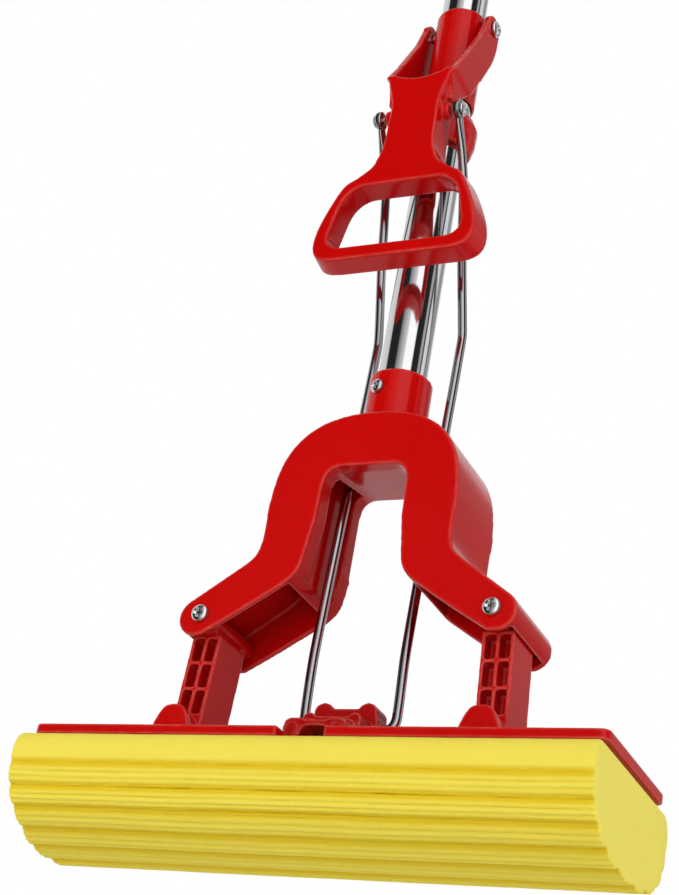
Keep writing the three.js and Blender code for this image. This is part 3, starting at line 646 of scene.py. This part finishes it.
def smooth_path(points, steps):
    """Points on a centripetal Catmull-Rom curve through these."""
    found = []
    count = len(points)
    for k in range(count - 1):
        p1, p2 = points[k], points[k + 1]
        p0 = points[k - 1] if k else p1 * 2 - p2
        p3 = points[k + 2] if k + 2 < count else p2 * 2 - p1
        t0, t1 = 0.0, sqrt((p1 - p0).length)
        t2 = t1 + sqrt((p2 - p1).length)
        t3 = t2 + sqrt((p3 - p2).length)
        for i in range(steps):
            t = t1 + (t2 - t1) * i / steps
            a1 = p0 * ((t1 - t) / (t1 - t0)) + p1 * ((t - t0) / (t1 - t0))
            a2 = p1 * ((t2 - t) / (t2 - t1)) + p2 * ((t - t1) / (t2 - t1))
            a3 = p2 * ((t3 - t) / (t3 - t2)) + p3 * ((t - t2) / (t3 - t2))
            b1 = a1 * ((t2 - t) / (t2 - t0)) + a2 * ((t - t0) / (t2 - t0))
            b2 = a2 * ((t3 - t) / (t3 - t1)) + a3 * ((t - t1) / (t3 - t1))
            found.append(b1 * ((t2 - t) / (t2 - t1)) + b2 * ((t - t1) / (t2 - t1)))
    found.append(points[-1])
    return found


def bent_wire(bm):
    right = [Vector(p) for p in WIRE_LEG]
    left = [Vector((-p.x, p.y, p.z)) for p in reversed(right[1:])]
    path = smooth_path(left + right, 10)
    rings = []
    side = Vector((0, 1, 0))
    last = len(path) - 1
    for k, point in enumerate(path):
        along = (path[min(k + 1, last)] - path[max(k - 1, 0)]).normalized()
        side = (side - along * side.dot(along)).normalized()
        across = along.cross(side)
        flat = max(0.0, 1 - min(k, last - k) / EYE_BLEND)
        ring = []
        for spoke in round_ring(WIRE_R, 0, 24):
            offset = side * spoke.x + across * spoke.y
            offset.x *= 1 - flat * (1 - EYE_HALF / WIRE_R)
            offset.y *= 1 + EYE_SPREAD * flat
            offset.z *= 1 + EYE_SPREAD * flat
            ring.append(bm.verts.new(place(*(point + offset))))
        rings.append(ring)
    skin(bm, rings)
    bm.faces.new(rings[0])
    bm.faces.new(rings[-1])


def wire_eye(bm, sign):
    turn = Matrix.Rotation(pi / 2, 3, "Y")
    centre = Vector((sign * EYE.x, EYE.y, EYE.z))
    profile = EYE_RING + [(radius, -height) for radius, height in reversed(EYE_RING)]
    rings = []
    for radius, height in profile:
        points = round_ring(radius, height, 40)
        rings.append([bm.verts.new(place(*(centre + turn @ point))) for point in points])
    skin(bm, rings, closed=True)


def pull_rod():
    bm = bmesh.new()
    bent_wire(bm)
    for _, sign in SIDES:
        wire_eye(bm, sign)
    bmesh.ops.recalc_face_normals(bm, faces=bm.faces)
    stand_for(soften(as_object("pull_rod_wire", bm)), "pull_rod", SHADED_WIRE_CHROME)


# ---------------------------------------------------------------- screws
def cross_recess(point, head_r):
    """1 inside the recess of a head of this radius, falling to 0 at its walls and its arms' ends."""
    arm = min(abs(point.x), abs(point.y)) / head_r
    reach = max(abs(point.x), abs(point.y)) / head_r
    wall = 1 - min(1.0, max(0.0, (arm - 0.13) / 0.09))
    slope = 1 - min(1.0, max(0.0, (reach - 0.34) / 0.26))
    return wall * slope


def screw(name, node, seat, outwards, shank, head, cross):
    """A pan-head screw whose head sits on the point seat and faces outwards.

    shank and head are each (radius, length), and cross is the recess's depth.
    """
    shank_r, shank_length = shank
    head_r, head_height = head
    chamfer = 0.3
    edge = 0.15
    rim = 0.3 * head_height  # the head is straight up to here and then domed
    steps = 25
    profile = [(shank_r * 0.8, -shank_length), (shank_r, chamfer - shank_length), (shank_r, 0)]
    profile += [(head_r - edge, 0), (head_r, edge), (head_r, rim)]
    for i in range(1, steps):
        share = 1 - i / steps
        profile.append((head_r * share, rim + (head_height - rim) * sqrt(1 - share ** 2.4)))
    turn = Vector(outwards).to_track_quat("Z", "Y").to_matrix().to_4x4()
    turn.translation = place(*seat)
    bm = bmesh.new()
    rings = []
    for radius, height in profile:
        points = round_ring(radius, height, 72)
        if height > rim:
            for point in points:
                point.z -= cross * cross_recess(point, head_r)
        rings.append([bm.verts.new(turn @ (point * MM)) for point in points])
    skin(bm, rings)
    bm.faces.new(rings[0])
    bm.faces.new(rings[-1])
    bmesh.ops.recalc_face_normals(bm, faces=bm.faces)
    return stand_for(soften(as_object(name, bm), 50), node, SCREW_CHROME)


PIVOT_Z = 425.7
CHEEK_X = 20  # outer face of the lever's cheeks
FOOT_X = 73.6
FOOT_Z = 66.7
FOOT_SHANK_END = 4.3  # the foot screws end this far behind the yoke, past their nuts
YOKE_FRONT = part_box("yoke")[0].y / MM
YOKE_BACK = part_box("yoke")[1].y / MM
SOCKET_R = 15.8
SOCKET_SCREW_Z = 190
SOCKET_SCREW_TURN = -0.31  # radians round the pole, from straight in front


def screws():
    aim = Vector((sin(SOCKET_SCREW_TURN), -cos(SOCKET_SCREW_TURN), 0))
    reach = SOCKET_R + GAP
    seat = (aim.x * reach, aim.y * reach, SOCKET_SCREW_Z)
    screw("socket_screw_head", "socket_screw", seat, aim, (1.7, 2.6), (3.7, 2.6), 1.5)
    through = YOKE_BACK - YOKE_FRONT + GAP + FOOT_SHANK_END
    for side, sign in SIDES:
        outwards = (sign, 0, 0)
        seat = (sign * FOOT_X, YOKE_FRONT - GAP, FOOT_Z)
        screw(f"foot_screw_head_{side}", f"foot_screw_{side}", seat, (0, -1, 0),
              (2.5, through), (4.4, 2.8), 1.1)
        seat = (sign * (EYE.x + EYE_HALF + GAP), EYE.y, EYE.z)
        screw(f"rod_screw_head_{side}", f"rod_screw_{side}", seat, outwards,
              (1.8, 5), (3.7, 2.2), 1.2)
        seat = (sign * (CHEEK_X + GAP), 0, PIVOT_Z)
        screw(f"pivot_screw_head_{side}", f"pivot_screw_{side}", seat, outwards,
              (2.3, 7.2), (4.6, 2.8), 1.5)


# ---------------------------------------------------------------- pole
OUTER_TUBE_BORE = 11.3
INNER_TUBE_BORE = 9.9
TUBE_LIP = 0.25
GRIP_BORE = 11.2
GRIP_WAVES = 9
GRIP_WAVE_DEPTH = 1.0
GRIP_PLAIN_END = 10  # the waves stop this far from either end


def pole_extent(node):
    """A round node's outer radius, and the heights of its two ends."""
    low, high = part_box(node)
    return (high.x - low.x) / 2 / MM, millimetres(low).z, millimetres(high).z


def tube(name, node, bore, material):
    """A round tube the length of its CAD node, with slightly rolled ends."""
    outer, z0, z1 = pole_extent(node)
    lip = TUBE_LIP
    profile = [(bore, z0 + lip), (bore + lip, z0), (outer - lip, z0), (outer, z0 + lip)]
    profile += [(outer, z1 - lip), (outer - lip, z1), (bore + lip, z1), (bore, z1 - lip)]
    return stand_for(soften(revolve(name, profile), 30), node, material)


def grip():
    """A ribbed sleeve with rounded ends."""
    outer, z0, z1 = pole_extent("grip")
    profile = [(GRIP_BORE, z0), (outer - 1.6, z0), (outer - 0.4, z0 + 1.2), (outer, z0 + 3)]
    waved = z1 - z0 - 2 * GRIP_PLAIN_END
    steps = 14 * GRIP_WAVES
    for i in range(steps + 1):
        share = i / steps
        dip = 0.5 * (1 - cos(2 * pi * GRIP_WAVES * share))
        profile.append((outer - GRIP_WAVE_DEPTH * dip ** 1.5, z0 + GRIP_PLAIN_END + waved * share))
    profile += [(outer, z1 - 3), (outer - 0.4, z1 - 1), (outer - 1.2, z1), (GRIP_BORE, z1)]
    return stand_for(soften(revolve("grip_moulded", profile), 50), "grip", GRIP_PLASTIC)


# ---------------------------------------------------------------- assembly
HANDLE_TOP = 312  # the lever is the rounded hand hole below this height
ROOT = (340, 384)  # heights between which its neck widens into the cheeks
ROOT_X = 10
CAP_X, CAP_Y, CAP_Z = 11, 28.1, 8
CAP_RADIUS = 2.9 * MM
CAP_LENGTH = 1.3 * MM


def on_handle(point):
    return point.z < HANDLE_TOP


def at_root(point):
    return ROOT[0] < point.z < ROOT[1] and abs(point.x) > ROOT_X


def pin_caps(bm):
    """Moulded caps over both ends of the hinge pins."""
    size = {"segments": 32, "radius1": CAP_RADIUS, "radius2": CAP_RADIUS, "depth": CAP_LENGTH}
    for x in (-CAP_X, CAP_X):
        for y in (-CAP_Y, CAP_Y):
            turn = Matrix.Translation(place(x, y, CAP_Z)) @ Matrix.Rotation(pi / 2, 4, "X")
            bmesh.ops.create_cone(bm, cap_ends=True, matrix=turn, **size)


def assemble():
    moulding("yoke", RED_PLASTIC, 0.75, [(6, None)])
    moulding("lever", RED_PLASTIC, 0.6, [(5, None), (22, on_handle), (24, at_root)])
    moulding("lever_sleeve", RED_PLASTIC, 0.5, [(2, None)])
    moulding("stop_collar", RED_PLASTIC, 0.5, [(4, None)])
    moulding("hinge_block", HINGE_PLASTIC, 0.5, [(4, None)], extra=pin_caps)
    moulding("lock_sleeve", RED_PLASTIC, 0.6, [(3, None)])
    moulding("twist_collar", RED_PLASTIC, 0.6, [(3, None)])
    moulding("hang_cap", RED_PLASTIC, 0.6, [(6, None)])
    for side, sign in SIDES:
        moulding(f"wing_{side}", RED_PLASTIC, 0.6, [(3, None)], 0.25)
        moulding(f"strut_{side}", RED_PLASTIC, 0.45, [(3, None)])
        moulding(f"sponge_backing_{side}", BACKING, 0.6, [(2, None)], 0.1, "cut")
        turned(f"lug_pin_{side}", PIN_STEEL)
        turned(f"hinge_pin_{side}", PIN_STEEL)
        turned(f"foot_nut_{side}", SCREW_CHROME)
        sponge(side, sign)
    sponge_middle()
    pull_rod()
    screws()
    tube("outer_tube_chrome", "outer_tube", OUTER_TUBE_BORE, TUBE_CHROME)
    tube("inner_tube_chrome", "inner_tube", INNER_TUBE_BORE, TUBE_CHROME)
    grip()


# ---------------------------------------------------------------- camera, light, stage
def camera():
    """The photograph's camera: below the mop, at its right-hand front, and rolled."""
    azimuth, elevation, roll = radians(29.12), radians(-27.14), radians(10.44)
    distance = 888.89
    target = Vector((-28.42, 0, 165.8))
    back = Vector((sin(azimuth) * cos(elevation), -cos(azimuth) * cos(elevation), sin(elevation)))
    level = Vector((cos(azimuth), sin(azimuth), 0))
    upright = back.cross(level)
    right = level * cos(roll) + upright * sin(roll)
    up = upright * cos(roll) - level * sin(roll)
    data = bpy.data.cameras.new("camera")
    data.sensor_width = 36
    data.lens = 71.93
    data.clip_end = 50
    eye = bpy.data.objects.new("camera", data)
    bpy.context.scene.collection.objects.link(eye)
    turn = Matrix((right, up, back)).transposed().to_4x4()
    turn.translation = place(*(target + back * distance))
    eye.matrix_world = turn
    bpy.context.scene.camera = eye


# Brightness of the reflected studio round the horizon: (azimuth from +X in degrees, brightness).
STUDIO = [
    (-180, 0.75), (-160, 0.70),
    (-156, 0.02), (-112, 0.02),
    (-106, 0.25), (-76, 0.75),
    (-72, 1.25), (-36, 1.25),
    (-31, 0.02), (-2, 0.02),
    (2, 0.45), (12, 0.45),
    (14, 0.03), (19, 0.03),
    (23, 0.80), (42, 0.80),
    (48, 0.34), (78, 0.34),
    (84, 0.85), (180, 0.75),
]
DOME_RADIUS = 4
DOME_SCALE = 8
DOME_FADE = (-3.6, -1.6)  # the unscaled dome's heights between which its panels fade into the ground
GROUND = (0.16, 0.16, 0.16, 1)
AIM = Vector((0, 0, 0.2))  # where the lamps point
LAMP_SIZE = 1.0
FLOOR_Z = -0.42
FLOOR_HALF = 22
WHITE = (1, 1, 1, 1)


def reflected_studio():
    """A dome that lights the object and shows in its reflections, but not to the camera."""
    bm = bmesh.new()
    bmesh.ops.create_icosphere(bm, subdivisions=4, radius=DOME_RADIUS)
    dome = as_object("studio_dome", bm)
    dome.scale = (DOME_SCALE,) * 3
    material = bpy.data.materials.new("studio_dome")
    material.use_nodes = True
    tree = material.node_tree
    tree.nodes.clear()
    coords = tree.nodes.new("ShaderNodeTexCoord")
    split = tree.nodes.new("ShaderNodeSeparateXYZ")
    tree.links.new(coords.outputs["Object"], split.inputs[0])
    angle = tree.nodes.new("ShaderNodeMath")
    angle.operation = "ARCTAN2"
    tree.links.new(split.outputs["Y"], angle.inputs[0])
    tree.links.new(split.outputs["X"], angle.inputs[1])
    share = tree.nodes.new("ShaderNodeMapRange")
    share.inputs["From Min"].default_value = -pi
    share.inputs["From Max"].default_value = pi
    tree.links.new(angle.outputs[0], share.inputs["Value"])
    ramp = tree.nodes.new("ShaderNodeValToRGB")
    stops = ramp.color_ramp.elements
    while len(stops) > 1:
        stops.remove(stops[-1])
    for i, (azimuth, bright) in enumerate(STUDIO):
        stop = stops[0] if i == 0 else stops.new((azimuth + 180) / 360)
        stop.position = (azimuth + 180) / 360
        stop.color = (bright, bright, bright, 1)
    tree.links.new(share.outputs["Result"], ramp.inputs["Fac"])
    low = tree.nodes.new("ShaderNodeMapRange")
    low.inputs["From Min"].default_value = DOME_FADE[0]
    low.inputs["From Max"].default_value = DOME_FADE[1]
    tree.links.new(split.outputs["Z"], low.inputs["Value"])
    mix = tree.nodes.new("ShaderNodeMix")
    mix.data_type = "RGBA"
    mix.inputs[6].default_value = GROUND
    tree.links.new(low.outputs["Result"], mix.inputs[0])
    tree.links.new(ramp.outputs["Color"], mix.inputs[7])
    glow = tree.nodes.new("ShaderNodeEmission")
    tree.links.new(mix.outputs[2], glow.inputs["Color"])
    out = tree.nodes.new("ShaderNodeOutputMaterial")
    tree.links.new(glow.outputs[0], out.inputs["Surface"])
    dome.data.materials.append(material)
    dome.visible_camera = False
    dome.visible_transmission = False
    dome.visible_shadow = False


def lamp(name, location, energy):
    data = bpy.data.lights.new(name, "AREA")
    data.energy = energy
    data.size = LAMP_SIZE
    light = bpy.data.objects.new(name, data)
    bpy.context.scene.collection.objects.link(light)
    light.location = location
    light.rotation_euler = (AIM - Vector(location)).to_track_quat("-Z", "Y").to_euler()
    light.visible_camera = False
    light.visible_glossy = False


def pale_floor():
    bm = bmesh.new()
    bmesh.ops.create_grid(bm, x_segments=8, y_segments=8, size=FLOOR_HALF)
    floor = as_object("floor", bm)
    floor.location.z = FLOOR_Z
    floor.visible_glossy = False
    n = Nodes("floor", 0.8)
    tint = n.blend(n.ranged(n.noise(3, 3), 0, 1), (0.86, 0.86, 0.85), (0.83, 0.83, 0.82))
    n.link(tint, n.shader, "Base Color")
    n.shader.inputs["Emission Color"].default_value = WHITE
    n.shader.inputs["Emission Strength"].default_value = 0.10
    floor.data.materials.append(n.material)


def stage():
    world = bpy.data.worlds.new("studio")
    bpy.context.scene.world = world
    world.use_nodes = True
    world.node_tree.nodes["Background"].inputs["Color"].default_value = WHITE
    world.node_tree.nodes["Background"].inputs["Strength"].default_value = 1.0
    reflected_studio()
    lamp("key", (-1.1, -1.7, 0.7), 13.5)
    lamp("low", (0.1, -1.6, -0.3), 9)
    lamp("right", (2.0, -0.3, 0.5), 11)
    pale_floor()
    bpy.context.scene.view_settings.view_transform = "Standard"


camera()
stage()
assemble()
